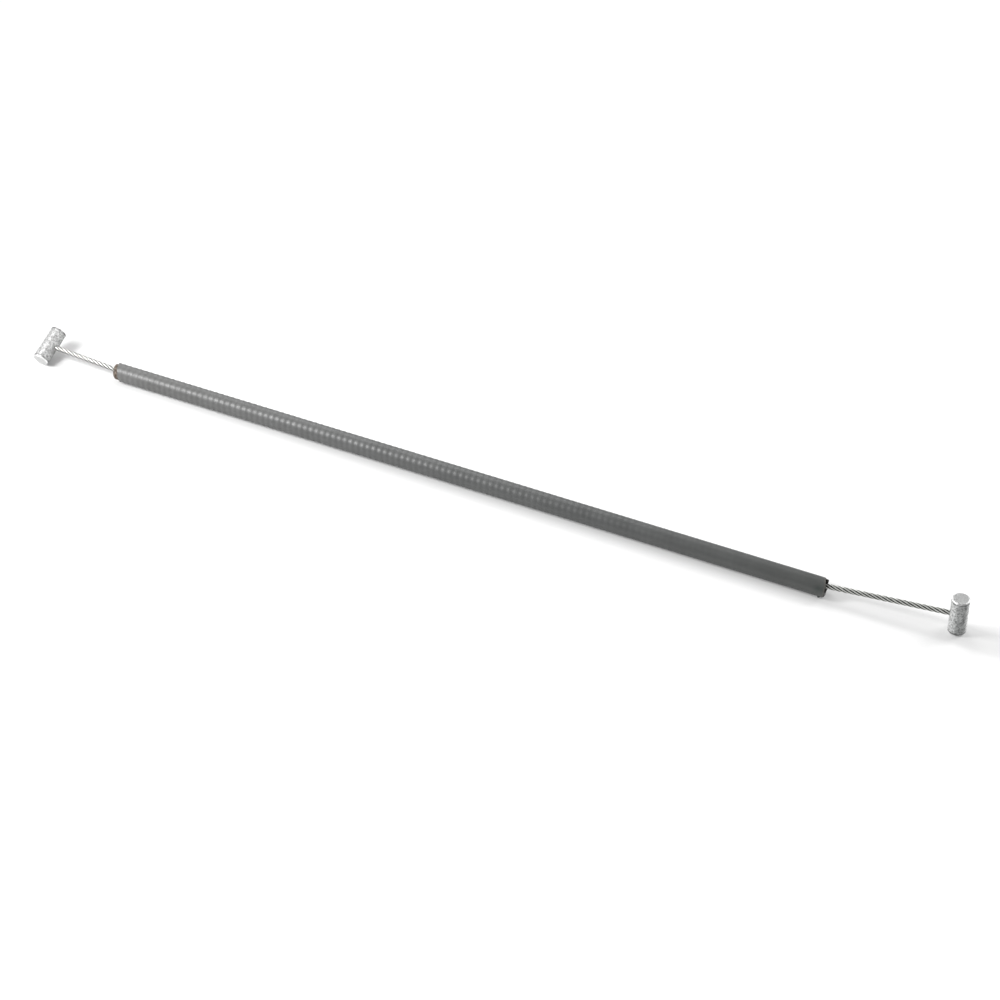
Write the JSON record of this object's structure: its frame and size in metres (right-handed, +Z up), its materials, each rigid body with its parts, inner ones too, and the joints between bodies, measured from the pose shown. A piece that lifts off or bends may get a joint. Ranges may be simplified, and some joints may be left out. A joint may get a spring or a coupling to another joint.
{
  "type": "reverse lockout cable",
  "caption": "Short jacketed push-pull control cable with a stranded wire that slides in a wound-wire sleeve and a cast barrel set crosswise on each wire end.",
  "frame": {"origin": "the middle of the footprint, on the table that the cable lies on", "axes": "+X along the sleeve from the left barrel to the right one, +Y away from the viewer of the picture, +Z up"},
  "size_m": [0.2634, 0.011, 0.0105],
  "materials": {
    "jacket_plastic": "satin grey tube, faintly ribbed by the coil under it",
    "coil_steel": "rusted at the cut ends",
    "wire_steel": "drawn strands, bright on top and dark between",
    "cast_zinc": "dull mottled casting with bright edges"
  },
  "bodies": {
    "sleeve": {"jacket": "jacket_plastic", "coil": "coil_steel"},
    "inner": {"inner_wire": "wire_steel", "left_barrel": "cast_zinc", "right_barrel": "cast_zinc"}
  },
  "joints": [
    {"name": "wire_slide", "type": "slide", "parent": "sleeve", "child": "inner", "axis": [1, 0, 0], "range_m": [-0.02994, 0.01888], "deforming": ["inner_wire"]}
  ]
}
